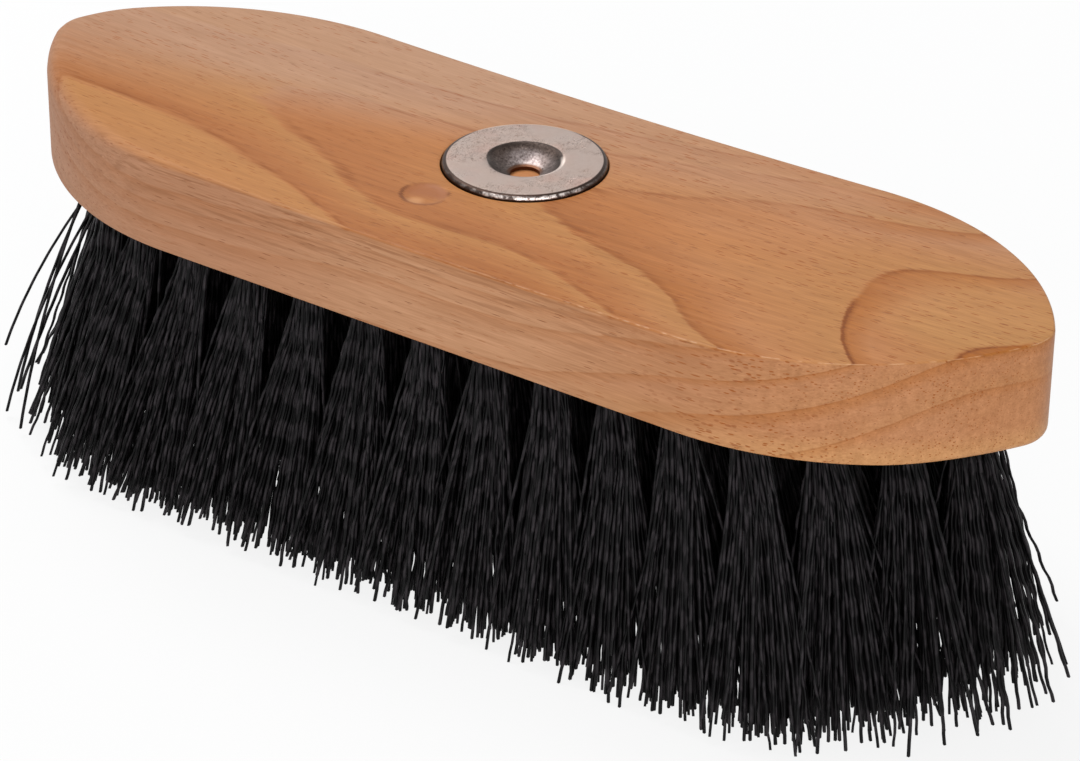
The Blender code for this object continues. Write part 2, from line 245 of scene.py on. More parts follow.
class Look:
    """A Principled material and short calls for wiring its nodes."""

    def __init__(self, name):
        self.material = bpy.data.materials.new(name)
        self.material.use_nodes = True
        self.nodes = self.material.node_tree.nodes
        self.links = self.material.node_tree.links
        self.shader = self.nodes["Principled BSDF"]
        coordinates = self.add("ShaderNodeTexCoord")
        self.place = self.vector("SCALE", coordinates.outputs["Object"], scale=1 / MM)
        parts = self.add("ShaderNodeSeparateXYZ", {0: self.place})
        self.x, self.y, self.z = parts.outputs

    def add(self, kind, inputs=None, **settings):
        node = self.nodes.new(kind)
        for key, value in settings.items():
            setattr(node, key, value)
        for key, value in (inputs or {}).items():
            self.put(node.inputs[key], value)
        return node

    def put(self, socket, value):
        if isinstance(value, bpy.types.NodeSocket):
            self.links.new(value, socket)
        elif hasattr(value, "__len__") and len(value) == 3 and socket.type == "RGBA":
            socket.default_value = (*value, 1.0)
        else:
            socket.default_value = value

    def set(self, name, value):
        self.put(self.shader.inputs[name], value)

    def attribute(self, name):
        """A value that the mesh stores at each of its points."""
        return self.add("ShaderNodeAttribute", attribute_name=name).outputs["Fac"]

    def math(self, operation, a, b=0.0, c=0.0):
        return self.add("ShaderNodeMath", {0: a, 1: b, 2: c}, operation=operation).outputs[0]

    def times(self, *values):
        """All the values multiplied with each other."""
        product = values[0]
        for value in values[1:]:
            product = self.math("MULTIPLY", product, value)
        return product

    def less(self, share, amount):
        """1 where share is 0, and less by amount where share is 1."""
        return self.math("MULTIPLY_ADD", share, -amount, 1.0)

    def gap(self, value, middle):
        """How far value is from middle, on either side of it."""
        return self.math("ABSOLUTE", self.math("SUBTRACT", value, middle))

    def hypot(self, a, b):
        squares = self.math("ADD", self.times(a, a), self.times(b, b))
        return self.math("SQRT", squares)

    def vector(self, operation, a, b=(0, 0, 0), scale=1.0):
        node = self.add("ShaderNodeVectorMath", {0: a, 1: b, 3: scale}, operation=operation)
        single = operation in ("LENGTH", "DOT_PRODUCT")
        return node.outputs["Value" if single else "Vector"]

    def about(self, centre):
        """The place seen from a centre that is given in metres along X and Y."""
        return self.vector("SUBTRACT", self.place, (centre[0] / MM, centre[1] / MM, 0))

    def out_from(self, centre):
        """How far the place is from the upright line through a centre."""
        return self.vector("LENGTH", self.vector("MULTIPLY", self.about(centre), (1, 1, 0)))

    def stretched(self, size, offset):
        """The place divided by size, so that what is drawn there grows that large."""
        moved = self.vector("ADD", self.place, offset)
        return self.vector("MULTIPLY", moved, [1 / length for length in size])

    def noise(self, size, offset=(0, 0, 0), detail=2.0, roughness=0.5, distortion=0.0):
        """Clouds of about this size in millimetres along X, Y and Z."""
        node = self.add("ShaderNodeTexNoise", {
            "Vector": self.stretched(size, offset), "Scale": 1.0, "Detail": detail,
            "Roughness": roughness, "Distortion": distortion})
        return node.outputs["Fac"]

    def cells(self, size, offset=(0, 0, 0)):
        """The distance from the nearest of many scattered points, one to each size."""
        node = self.add("ShaderNodeTexVoronoi", {
            "Vector": self.stretched(size, offset), "Scale": 1.0})
        return node.outputs["Distance"]

    def span(self, value, low, high, to_low=0.0, to_high=1.0, kind="LINEAR"):
        """value carried over from the range low to high, and held at its ends."""
        node = self.add("ShaderNodeMapRange", {
            "Value": value, "From Min": low, "From Max": high, "To Min": to_low,
            "To Max": to_high}, interpolation_type=kind)
        return node.outputs["Result"]

    def smooth(self, *values):
        """The same as span, with soft ends."""
        return self.span(*values, kind="SMOOTHSTEP")

    def mix(self, share, a, b, mode="MIX"):
        node = self.add("ShaderNodeMix", {0: share, 6: a, 7: b}, data_type="RGBA",
                        blend_type=mode)
        return node.outputs[2]

    def ramp(self, value, stops):
        """A grey level that runs straight from each stop's position and level to the next."""
        node = self.add("ShaderNodeValToRGB", {0: value})
        elements = node.color_ramp.elements
        while len(elements) < len(stops):
            elements.new(0.5)
        for element, (position, level) in zip(elements, sorted(stops)):
            element.position = position
            element.color = (level, level, level, 1.0)
        return node.outputs["Color"]

    def bump(self, height, distance, strength):
        node = self.add("ShaderNodeBump", {
            "Height": height, "Distance": distance, "Strength": strength})
        self.set("Normal", node.outputs["Normal"])


def linear(*rgb):
    """Display values 0 to 255 as linear colour."""
    return tuple((v / 255 / 12.92) if v <= 10 else ((v / 255 + 0.055) / 1.055) ** 2.4
                 for v in rgb)


# Growth rings. The pith lies under the block and rises towards +X, so the back shows arches
# that open to +X. Lengths from here to wood_radius are millimetres.
PITH_DEPTH = 61.9
PITH_RISE = 3.465
PITH_RISE_LENGTH = 53.5
PITH_Y = -1.83
PITH_SKEW = -0.022
TOP_Z = 67.5

# Each ring's radius, the strength of its late wood, the strength of its dark line, how far
# its late wood reaches inwards and how far the early wood after it reaches outwards.
RINGS = ((38, 0.65, 0.9, 2.4, 4), (47.05, 1, 0.7, 3.4, 5), (54.4, 0.85, 1, 1.9, 5),
         (61.25, 0.9, 0.8, 2.4, 2.6), (64.8, 0.85, 0.8, 2.5, 2.4), (67.5, 1, 0.6, 2.6, 10))
RING_LOW, RING_HIGH = 34, 78
LATE_HALFWAY = 0.62

# Places in the back that a ring of this radius runs through, in X and Y. The ring of 47.05
# is drawn a quarter of a millimetre inside its places.
RING_LINES = {
    67.5: ((-85.2, -17.2), (-66.5, -16), (-54, -17.9), (-41.5, -20.4), (-29, -24.8),
           (-17.8, -29.8), (-11, -33.5)),
    64.8: ((-52.8, -3.5), (-36.5, -11), (-29, -14.8), (-21.5, -19.1), (-10.2, -23.8),
           (2.2, -22.2), (14.8, -22.2), (27.2, -26), (37.2, -29.8), (45, -33.5), (-49, 6.5),
           (-39, 9), (-29, 10.2), (-17.8, 11.1), (6.6, 17.1), (16, 20.2),
           (27.2, 24), (39.8, 27.8), (58.5, 30.2)),
    61.25: ((9.8, -6), (26, -12.9), (34.8, -16), (42.2, -19.8), (48.5, -24.8),
            (53.5, -28.5), (61, -31), (69, -35), (12.9, 4), (21, 8.4), (31, 13.4),
            (41, 18.4), (52.2, 20.9), (64.8, 22.8)),
    54.4: ((87.2, 14), (77.2, 12.1), (70.2, 9), (67.9, 5.2), (68.7, 0.2), (69.4, -6),
           (71.6, -12.2), (75.2, -18.5), (79.1, -23.5)),
    47.3: ((91, -13.6), (92, -10.4), (93.9, -7.6), (96, -5.9), (98.7, -4.4),
           (101.8, -1.6)),
}
SHIFT_REACH = (14, 8)
SHIFT_SLACK = 0.15
SHIFT_DEPTH = 30
SIDE_SQUEEZE = 0.35
SIDE_SQUEEZE_FROM_TO = (25, 60)


def pith_distance(x, y, z):
    pith_z = TOP_Z - PITH_DEPTH + PITH_RISE * (np.exp(x / PITH_RISE_LENGTH) - 1)
    return np.hypot(y - PITH_Y - PITH_SKEW * x, z - pith_z)


def ring_shift(points):
    """How far each ring's line is moved so that it runs through the places noted above."""
    places, shifts = [], []
    for radius, line in RING_LINES.items():
        for x, y in line:
            z = TOP_Z + END_RISE / MM * (x * MM / HALF_LENGTH) ** 2
            places.append((x, y))
            shifts.append(radius - pith_distance(x, y, z))
    places, shifts = np.array(places), np.array(shifts)

    def nearness(a, b):
        across = (a[:, None, :] - b[None, :, :]) / np.array(SHIFT_REACH)
        return np.exp(-0.5 * (across ** 2).sum(axis=2))

    weights = np.linalg.solve(
        nearness(places, places) + SHIFT_SLACK * np.eye(len(places)), shifts)
    below = np.clip((TOP_Z + 1 - points[:, 2]) / SHIFT_DEPTH, 0, 1)
    shift = (nearness(points[:, :2], places) @ weights) * (1 - below)
    depth = back_height(points * MM) / MM - points[:, 2]
    return shift - SIDE_SQUEEZE * depth * eased(points[:, 0], *SIDE_SQUEEZE_FROM_TO)


def wood_radius(look):
    """The growth ring that each point lies in, as millimetres from the pith."""
    wobble = look.noise((60, 16, 16), detail=1)
    ripple = look.noise((16, 3.5, 3.5), (31, 7, 3), detail=3, roughness=0.6)
    feather = look.noise((14, 0.5, 0.5), (7, 3, 8), roughness=0.7)
    pith_z = look.math("EXPONENT", look.math("DIVIDE", look.x, PITH_RISE_LENGTH))
    pith_z = look.math("MULTIPLY_ADD", pith_z, PITH_RISE, TOP_Z - PITH_DEPTH - PITH_RISE)
    rise = look.math("SUBTRACT", look.z, pith_z)
    across = look.math("SUBTRACT", look.y, PITH_Y)
    across = look.math("MULTIPLY_ADD", look.x, -PITH_SKEW, across)
    radius = look.math("ADD", look.hypot(rise, across), look.attribute("ring_shift"))
    rough = look.math("ADD", look.span(wobble, 0.3, 0.7, -0.3, 0.3),
                      look.span(ripple, 0.2, 0.8, -0.22, 0.22))
    rough = look.times(rough, look.span(look.x, 45, 62, 1, 0.35))
    feather = look.times(look.span(feather, 0.2, 0.8, -0.12, 0.12),
                         look.span(look.x, 45, 62, 1, 0.75))
    return look.math("ADD", radius, look.math("ADD", rough, feather))


def ring_ramps(look, radius):
    """Early wood after each ring's line, late wood before it, and the thin line itself."""
    early, late, line = [], [], []
    for ring, strength, dark, fade, glow in RINGS:
        late += [(ring - fade, 0), (ring - 0.5 * fade, LATE_HALFWAY * strength),
                 (ring - 0.12, strength), (ring + 0.06, 0)]
        early += [(ring - 0.02, 0), (ring + 0.08, 1), (ring + glow, 0)]
        line += [(ring - 0.34, 0), (ring - 0.14, dark), (ring + 0.04, 0)]
    share = look.span(radius, RING_LOW, RING_HIGH)
    width = RING_HIGH - RING_LOW
    return [look.ramp(share, [((r - RING_LOW) / width, level) for r, level in stops])
            for stops in (early, late, line)]


# Wood

def ring_marks(look, flank):
    """How strongly early wood, late wood and the dark lines show at each point."""
    early, late, line = ring_ramps(look, wood_radius(look))
    calm = look.times(flank, look.span(look.x, 30, 55, -0.6, -0.45))
    calm = look.math("ADD", calm, 1)
    near = look.math("MAXIMUM", look.span(look.y, -5, 7, 1, 0.30),
                     look.span(look.x, 45, 60, 0, 0.85))
    broken = look.noise((20, 1, 1), (6, 6, 1), roughness=0.6)
    solid = look.math("MAXIMUM", look.span(broken, 0.40, 0.56),
                      look.span(look.x, 50, 66, 0, 0.75))
    left = look.times(look.span(look.x, -38, -50), look.span(look.y, -14, -9))
    soft = look.times(look.span(look.gap(look.y, -0.5), 7.5, 4), look.span(look.x, 60, 64))
    crisp = look.times(look.span(look.x, 55, 62, 0, 0.95), look.span(look.y, -4, -8))
    nose = look.times(look.span(look.x, 99.5, 101), look.less(flank, 1))
    early = look.times(early, calm, near)
    late = look.times(late, calm, near, look.less(nose, 1), look.less(left, 0.45),
                      look.span(solid, 0, 1, 0.72, 1))
    line = look.times(line, look.less(flank, 0.72), solid, look.less(left, 0.85),
                      look.less(soft, 0.8), look.span(look.y, 8, 12, 1, 0.7),
                      look.math("ADD", crisp, 1), look.less(nose, 1))
    return early, late, line


def ground_colour(look, flank, early):
    """Tan wood: warmer in the middle, pinker down the flank, and paler and greyer at the far side
    as a painted sheen.
    """
    blotch = look.noise((42, 14, 14), (3, 5, 1))
    colour = look.mix(look.span(blotch, 0.32, 0.70), linear(181, 118, 68), linear(182, 123, 78))
    along = look.math("MINIMUM", look.span(look.x, -60, -25), look.span(look.x, 60, 20))
    glow = look.times(look.smooth(look.y, 10, -6), along, 0.8)
    colour = look.mix(glow, colour, linear(180, 113, 60))
    # Painted sheen: the far side of the back is made paler and greyer.
    towards_far = look.math("ADD", look.y, look.span(look.x, -100, 0, 29, 0))
    far = look.times(look.smooth(towards_far, 6, 26), look.span(look.x, 50, -25, 0.35, 0.85))
    colour = look.mix(far, colour, linear(181, 144, 119))
    colour = look.mix(look.times(early, 0.75), colour, linear(179, 124, 70))
    pink = look.times(flank, look.span(look.x, -90, 95, 0.9, 0.28))
    colour = look.mix(pink, colour, linear(176, 129, 100))
    middle = look.smooth(look.gap(look.x, 8), 48, 12, 0, 0.5)
    colour = look.mix(look.times(flank, middle), colour, linear(194, 147, 110))
    low = look.times(look.smooth(look.z, 56.5, 52), look.span(look.x, 25, 80), 0.6)
    colour = look.mix(low, colour, linear(198, 146, 95))
    arch = look.times(look.smooth(look.gap(look.y, 1), 16, 8),
                      look.span(look.x, 70, 82, 0, 0.45), look.less(flank, 1))
    return look.mix(arch, colour, linear(188, 137, 80))


def ring_colour(look, late, line, colour):
    """The late wood and its dark line, browner at the left and more orange at the right."""
    late_colour = look.mix(look.span(look.x, 10, 70), linear(161, 97, 47), linear(163, 93, 24))
    late_colour = look.mix(look.span(look.x, 84, 92), late_colour, linear(158, 87, 14))
    colour = look.mix(look.times(late, 0.95), colour, late_colour)
    return look.mix(look.times(line, 0.95), colour, linear(130, 66, 8))


def grain_tone(look, flank, fine):
    """Fibre and fine grain as a factor near 1, redder where it is darker, with painted shade at
    the left end.
    """
    fibre = look.noise((22, 1.1, 1.1), detail=3, roughness=0.62)
    tone = look.math("ADD", look.span(fibre, 0.2, 0.8, -0.13, 0.13),
                     look.span(fine, 0.2, 0.8, -0.13, 0.13))
    tone = look.math("MULTIPLY_ADD", tone, look.span(look.x, -40, 30, 0.8, 1.05), 1)
    # Painted shade: a little darker towards the left end. It is also darker towards the right
    # tip.
    tone = look.times(tone, look.span(look.x, -95, -15, 0.96, 1),
                      look.span(look.x, 80, 98, 1, 0.965))
    upright = look.noise((1.1, 1.1, 4.5), (2, 6, 5), roughness=0.6)
    upright = look.times(look.span(upright, 0.25, 0.75, -0.07, 0.07), flank,
                         look.span(look.x, 58, 78))
    tone = look.math("ADD", tone, upright)
    warm = look.add("ShaderNodeCombineColor", {
        0: tone, 1: look.math("POWER", tone, 1.25), 2: look.math("POWER", tone, 1.6)})
    return warm.outputs[0]


def pore_marks(look, flank):
    """Small pores in drifts, fainter on the side, and a few large ones."""
    drift = look.noise((26, 8, 8), (9, 1, 4), detail=1)
    small = look.math("SUBTRACT", look.span(drift, 0.35, 0.65, 0.15, 0.27),
                      look.cells((4.2, 0.52, 0.52)))
    calm_side = look.times(flank, look.span(look.x, 62, 36))
    small = look.times(look.span(small, 0, 0.06), look.span(look.x, -30, 40, 0.55, 0.85),
                       look.less(calm_side, 0.6))
    large = look.math("SUBTRACT", 0.14, look.cells((7.5, 0.56, 0.56), (2, 9, 4)))
    return small, look.span(large, 0, 0.04)


def screen_axes(look, centre):
    """The place about a centre, split into right and away as the photograph sees them."""
    about = look.about(centre)
    right = look.vector("DOT_PRODUCT", about, (math.cos(HEADING), math.sin(HEADING), 0))
    away = look.vector("DOT_PRODUCT", about, (-math.sin(HEADING), math.cos(HEADING), 0))
    return right, away


def dent_painted_shading(look, colour, fine):
    """The round dent's painted light and shade: a dark crescent at its left, a red shaded upper
    part and a pale low spot as a painted highlight.
    """
    right, away = screen_axes(look, DENT_CENTRE)
    radius = DENT_RADIUS / MM
    out = look.math("ADD", look.hypot(right, away), look.span(fine, 0.2, 0.8, -0.4, 0.4))
    on_back = look.span(look.z, 66, 66.8)
    inside = look.times(on_back, look.smooth(out, radius, radius - 0.9))
    # Painted shade: the dent's upper part is made red and darker.
    red = look.smooth(look.math("MULTIPLY_ADD", right, 0.35, away), -2.2, 0.8, 0, 0.85)
    colour = look.mix(look.times(inside, red), colour, linear(160, 98, 60))
    # Painted highlight: a pale spot low in the dent.
    spot = look.hypot(look.math("ADD", right, 0.36 * radius),
                      look.math("ADD", away, 0.50 * radius))
    spot = look.times(inside, look.smooth(spot, 2.1, 0.5, 0, 0.8))
    colour = look.mix(spot, colour, linear(204, 146, 98))
    # Painted shade: a dark outline, strongest at the dent's left, low, far and right sides.
    edge = look.times(on_back, look.smooth(look.gap(out, radius - 0.35), 0.65, 0.1))
    left = look.smooth(right, -0.35 * radius, -0.85 * radius, 0, 0.95)
    low = look.smooth(away, -0.3 * radius, -0.9 * radius, 0, 0.55)
    far = look.smooth(away, 0.4 * radius, 0.9 * radius, 0, 0.3)
    side = look.times(look.span(right, 0.8 * radius, 0.95 * radius, 0, 0.8),
                      look.span(look.math("ABSOLUTE", away), 1.3, 0.3))
    share = look.math("MAXIMUM", look.math("MAXIMUM", left, low), look.math("MAXIMUM", far, side))
    return look.mix(look.times(edge, share), colour, linear(124, 68, 30))


def flank_marks(look, colour, flank, fine):
    """The side: end grain with pores at both ends and long brown streaks between them."""
    ends = look.math("MAXIMUM", look.span(look.x, -52, -78), look.span(look.x, 38, 62))
    streak = look.noise((14, 0.6, 0.6), (4, 4, 6), detail=3, roughness=0.6)
    streak = look.times(look.span(streak, 0.50, 0.63, 0, 0.72),
                        look.span(look.z, 58.5, 63.5, 0.25, 1),
                        look.span(look.x, 10, -20, 0.75, 1), look.less(ends, 0.7), flank)
    colour = look.mix(streak, colour, linear(142, 92, 58))
    warp = look.math("MULTIPLY_ADD", fine, 0.16, -0.08)
    pores = look.math("ADD", look.cells((2.2, 1.7, 0.9), (6, 2, 7)), warp)
    drift = look.noise((9, 9, 6), (3, 8, 2), detail=1)
    pores = look.times(look.span(pores, 0.29, 0.20), look.span(drift, 0.34, 0.54),
                       look.span(look.x, 64, 86, 1, 0.25), ends, flank, 0.55)
    return look.mix(pores, colour, linear(138, 70, 30))


def hole_wood(look, colour):
    """The bare wood that shows through the disc's hole is paler than the back."""
    share = look.times(look.span(look.out_from(DISC_CENTRE), 3.4, 3),
                       look.span(look.z, 63.9, 64.6), 0.8)
    return look.mix(share, colour, linear(201, 132, 79))


def arris_painted_highlight(look, colour):
    """Painted highlight: broken pale specks along the back's near edge, right of the middle."""
    specks = look.noise((2.4, 2.4, 2.4), (1, 3, 9))
    glint = look.times(look.span(look.x, -10, 50), look.span(look.y, 6, 0),
                       look.attribute("arris"), look.span(specks, 0.46, 0.58, 0, 0.62),
                       look.span(look.x, 48, 66, 1, 0.75))
    return look.mix(glint, colour, linear(226, 184, 148))


def wood_look():
    look = Look("lacquered_wood_look")
    flank = look.attribute("flank")
    fine = look.noise((6, 0.28, 0.28), (5, 2, 9), roughness=0.6)
    early, late, line = ring_marks(look, flank)
    colour = ground_colour(look, flank, early)
    colour = ring_colour(look, late, line, colour)
    colour = look.mix(1, colour, grain_tone(look, flank, fine), "MULTIPLY")
    small, large = pore_marks(look, flank)
    colour = look.mix(small, colour, linear(150, 76, 14))
    colour = look.mix(look.times(large, 0.6), colour, linear(116, 54, 8))
    colour = dent_painted_shading(look, colour, fine)
    colour = flank_marks(look, colour, flank, fine)
    colour = hole_wood(look, colour)
    look.set("Base Color", arris_painted_highlight(look, colour))
    look.set("Roughness", look.math("ADD", look.span(fine, 0.2, 0.8, 0.40, 0.50),
                                    look.span(look.x, -90, -20, 0.18, 0)))
    look.set("Specular IOR Level", 0.16)
    look.set("Coat Weight", 0.04)
    look.set("Coat Roughness", 0.35)
    fleck = look.math("MAXIMUM", look.times(small, 0.5), large)
    height = look.math("ADD", look.times(fine, 0.5), look.times(fleck, -1))
    look.bump(height, 0.00006, 0.6)
    return look.material


# Metal

def plate_stain(look):
    """Thin scribbled stains, in patches of the flat ring."""
    scribble = look.noise((1.7, 2.4, 1.7), (4, 8, 2), detail=3, roughness=0.7, distortion=1.8)
    patch = look.noise((6.5, 6.5, 6.5), (8, 1, 5), detail=1)
    return look.times(look.span(look.gap(scribble, 0.5), 0, 0.035, 1, 0),
                      look.span(patch, 0.45, 0.53))


def plate_colour(look, cloud, stain):
    """The flat ring: cloudy plate with its stains and a pink blush."""
    plate = look.mix(look.span(cloud, 0.3, 0.7), linear(192, 174, 165), linear(174, 154, 144))
    plate = look.mix(look.times(stain, 0.8), plate, linear(108, 84, 70))
    blush = look.noise((7, 7, 7), (1, 6, 3))
    return look.mix(look.span(blush, 0.52, 0.72, 0, 0.4), plate, linear(188, 150, 138))


def bowl_colour(look, grain, reach, out, right, away):
    """Inside the dish, painted light and shade: a dark shaded plate, a painted highlight patch
    and a black painted shade at the far lip.
    """
    # Painted highlight: a light patch on the dish's wall, between its lip and the hole.
    painted_highlight_mask = look.math("MINIMUM", look.smooth(out, 6, 4.9),
                     look.smooth(out, DISC_HOLE_RADIUS / MM + 0.2, 3.5))
    painted_highlight_mask = look.times(painted_highlight_mask, look.smooth(right, -4, -1, 0.15, 1),
                      look.smooth(right, 3.6, 1.4, 0.3, 0.9))
    # Painted shade: the darker plate in the rest of the dish.
    shade = look.mix(look.span(grain, 0.35, 0.68), linear(44, 34, 31), linear(92, 80, 74))
    bright = look.mix(look.span(grain, 0.36, 0.62), linear(104, 92, 90), linear(166, 154, 152))
    bowl = look.mix(painted_highlight_mask, shade, bright)
    far_lip = look.times(look.smooth(reach, -1.1, -0.4), look.smooth(away, 0, 4), 0.85)
    return look.mix(far_lip, bowl, linear(24, 17, 14))


def rim_colour(look, grain, right):
    """The rounded rim: a painted dark reflection, with a broken painted highlight band that fades
    at left and right.
    """
    # Painted highlight: a broken light band round the rim, over a painted dark reflection.
    band = look.times(look.span(look.z, 68.30, 68.18), look.span(look.z, 67.60, 67.85))
    painted_highlight_mask = look.noise((1.8, 1.8, 1.8), (5, 9, 2))
    band = look.times(band, look.span(painted_highlight_mask, 0.43, 0.54, 0.12, 1),
                      look.span(right, -11, -4, 0.1, 1),
                      look.span(right, 11.5, 8, 0.1, 1))
    rim_highlight = look.mix(look.span(grain, 0.34, 0.60), linear(112, 96, 92), linear(240, 228, 222))
    return look.mix(band, linear(58, 44, 38), rim_highlight)


def nickel_look():
    look = Look("nickel_plate_look")
    cloud = look.noise((4.5, 4.5, 4.5), detail=4, roughness=0.62)
    grain = look.noise((0.45, 0.45, 0.45), detail=3, roughness=0.7)
    stain = plate_stain(look)
    out = look.out_from(DISC_CENTRE)
    right, away = screen_axes(look, DISC_CENTRE)
    reach = look.math("SUBTRACT", out, look.smooth(away, -3.5, 4.5, 6.15, 6.95))
    dish = look.times(look.smooth(reach, 0.14, -0.14), 0.95)
    metal = look.mix(dish, plate_colour(look, cloud, stain),
                     bowl_colour(look, grain, reach, out, right, away))
    # Painted highlight: a light crescent inside the dish's near right lip.
    near_lip_highlight = look.times(look.span(out, 7, 6.7), look.span(out, 6, 6.3),
                          look.span(right, 0.5, 3), look.span(away, 1.5, -0.5))
    metal = look.mix(near_lip_highlight, metal, linear(238, 222, 212))
    hole_edge = look.times(look.span(out, 3.3, 2.9), look.span(away, -1, 0.8), 0.8)
    metal = look.mix(hole_edge, metal, linear(92, 58, 38))
    edge = (DISC_RADIUS - DISC_EDGE) / MM
    rim = look.smooth(out, edge - 0.10, edge + 0.08)
    metal = look.mix(rim, metal, rim_colour(look, grain, right))
    # Painted highlight: a pale line along the rim's far side.
    far_rim_highlight = look.times(rim, look.smooth(away, 9, 12))
    look.set("Base Color", look.mix(far_rim_highlight, metal, linear(216, 190, 174)))
    look.set("Metallic", 1)
    look.set("Roughness", look.math(
        "ADD", look.span(cloud, 0.3, 0.7, 0.26, 0.40), look.span(grain, 0.3, 0.7, -0.03, 0.05)))
    look.bump(look.math("ADD", grain, look.times(stain, 0.8)), 0.00004, 0.6)
    return look.material


# Adhesive and filament

def adhesive_look():
    look = Look("clear_adhesive_look")
    cloud = look.noise((2.5, 2.5, 2.5), detail=3)
    look.set("Base Color", look.mix(cloud, linear(214, 202, 168), linear(186, 168, 122)))
    look.set("Roughness", look.span(cloud, 0.3, 0.7, 0.35, 0.6))
    look.bump(cloud, 0.0001, 0.4)
    return look.material


def filament_look():
    """Black filament, with painted highlights: grey dashes on the crests of its crimps."""
    look = Look("black_filament_look")
    strand = look.noise((0.55, 0.55, 60), detail=1)
    along = look.noise((1.2, 1.2, 2.3), (2, 2, 2))
    # Painted highlight: lighter on the crests, a little less towards the right.
    painted_highlight_mask = look.times(look.smooth(look.attribute("crest"), -0.5, 0.7),
                      look.span(strand, 0.3, 0.7, 0.15, 1.05),
                      look.span(along, 0.3, 0.7, 0.6, 1.1),
                      look.span(look.x, 45, 90, 0.77, 0.66))
    look.set("Base Color", look.mix(painted_highlight_mask, linear(8, 7, 8), linear(58, 53, 56)))
    look.set("Roughness", look.span(along, 0.3, 0.7, 0.36, 0.52))
    look.set("Specular IOR Level", 0.12)
    look.bump(along, 0.00003, 0.3)
    return look.material


# Meshes

def add_piece(name, points, faces, material, nodes):
    mesh = bpy.data.meshes.new(name)
    mesh.from_pydata([tuple(p) for p in points], [], faces)
    mesh.validate()
    mesh.materials.append(material)
    mesh.shade_smooth()
    piece = bpy.data.objects.new(name, mesh)
    bpy.context.collection.objects.link(piece)
    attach(piece, "root")
    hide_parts(*nodes)
    return mesh


def store(mesh, name, values):
    """Keep one value for each point of the mesh, for its material to read."""
    attribute = mesh.attributes.new(name, "FLOAT", "POINT")
    attribute.data.foreach_set("value", values.astype(np.float32))


def ring_faces(a, b, count):
    """Faces between two closed rings of points, which start at a and at b."""
    return [(a + i, b + i, b + k, a + k) for i, k in zip(range(count), [*range(1, count), 0])]


# Block

def quarter_outline(inset):
    """From the middle of the +Y side to the +X tip, drawn in from the edge by inset."""
    points = [(HALF_SIDE * i / SIDE_POINTS, HALF_WIDTH - inset) for i in range(SIDE_POINTS)]
    for i in range(END_POINTS + 1):
        angle = math.pi / 2 + (NOSE_ANGLE - math.pi / 2) * i / END_POINTS
        points.append((HALF_SIDE + (END_RADIUS - inset) * math.cos(angle),
                       END_CENTRE_Y + (END_RADIUS - inset) * math.sin(angle)))
    for i in range(1, NOSE_POINTS + 1):
        angle = NOSE_ANGLE * (1 - i / NOSE_POINTS)
        points.append((NOSE_X + (NOSE_RADIUS - inset) * math.cos(angle),
                       (NOSE_RADIUS - inset) * math.sin(angle)))
    return points


def full_outline(inset):
    quarter = quarter_outline(inset)
    right = quarter + [(x, -y) for x, y in quarter[-2::-1]]
    left = [(-x, -y) for x, y in quarter[1:]] + [(-x, y) for x, y in quarter[-2:0:-1]]
    return np.array(right + left)


def back_height(points):
    """The back's height at these places, with the small round dent near the disc."""
    height = MIDDLE_THICKNESS + END_RISE * (points[:, 0] / HALF_LENGTH) ** 2
    away = np.hypot(points[:, 0] - DENT_CENTRE[0], points[:, 1] - DENT_CENTRE[1])
    return BASE_Z + height - DENT_DEPTH * eased(away, DENT_RADIUS, DENT_FLAT_RADIUS)


def upper_round(points):
    """The radius of the back's edge at these places."""
    softness = eased(points[:, 0], *UPPER_ROUND_FROM_TO_X)
    softness = softness * eased(points[:, 1], *UPPER_ROUND_FROM_TO_Y)
    return blend(UPPER_ROUND, UPPER_ROUND_LEFT, softness)


def lower_round(points):
    """The radius of the underside's edge at these places."""
    softness = eased(points[:, 0], *LOWER_ROUND_FROM_TO_X)
    return blend(LOWER_ROUND, LOWER_ROUND_RIGHT, softness)


def quarter_turn(steps):
    """Sine and 1 less cosine at each step of a quarter turn. Both go from 0 to 1."""
    angles = [math.pi / 2 * i / steps for i in range(steps + 1)]
    return [(math.sin(angle), 1 - math.cos(angle)) for angle in angles]


def side_rings():
    """Closed rings round the block, from the underside's edge to the back's."""
    edge = full_outline(0)
    inwards = (full_outline(MM) - edge) / MM
    below = lower_round(edge)[:, None]
    rounding = upper_round(edge)[:, None]
    shoulder = back_height(edge)[:, None]
    rings = []
    for across, up in quarter_turn(LOWER_EDGE_STEPS):
        rings.append(np.hstack([edge + inwards * below * (1 - across), BASE_Z + below * up]))
    for i in range(1, SIDE_STEPS):
        z = blend(BASE_Z + below, shoulder - rounding, i / SIDE_STEPS)
        rings.append(np.hstack([edge, z]))
    for up, across in quarter_turn(BACK_EDGE_STEPS):
        flat = edge + inwards * rounding * across
        rings.append(np.hstack([flat, back_height(flat)[:, None] - rounding * (1 - up)]))
    return rings


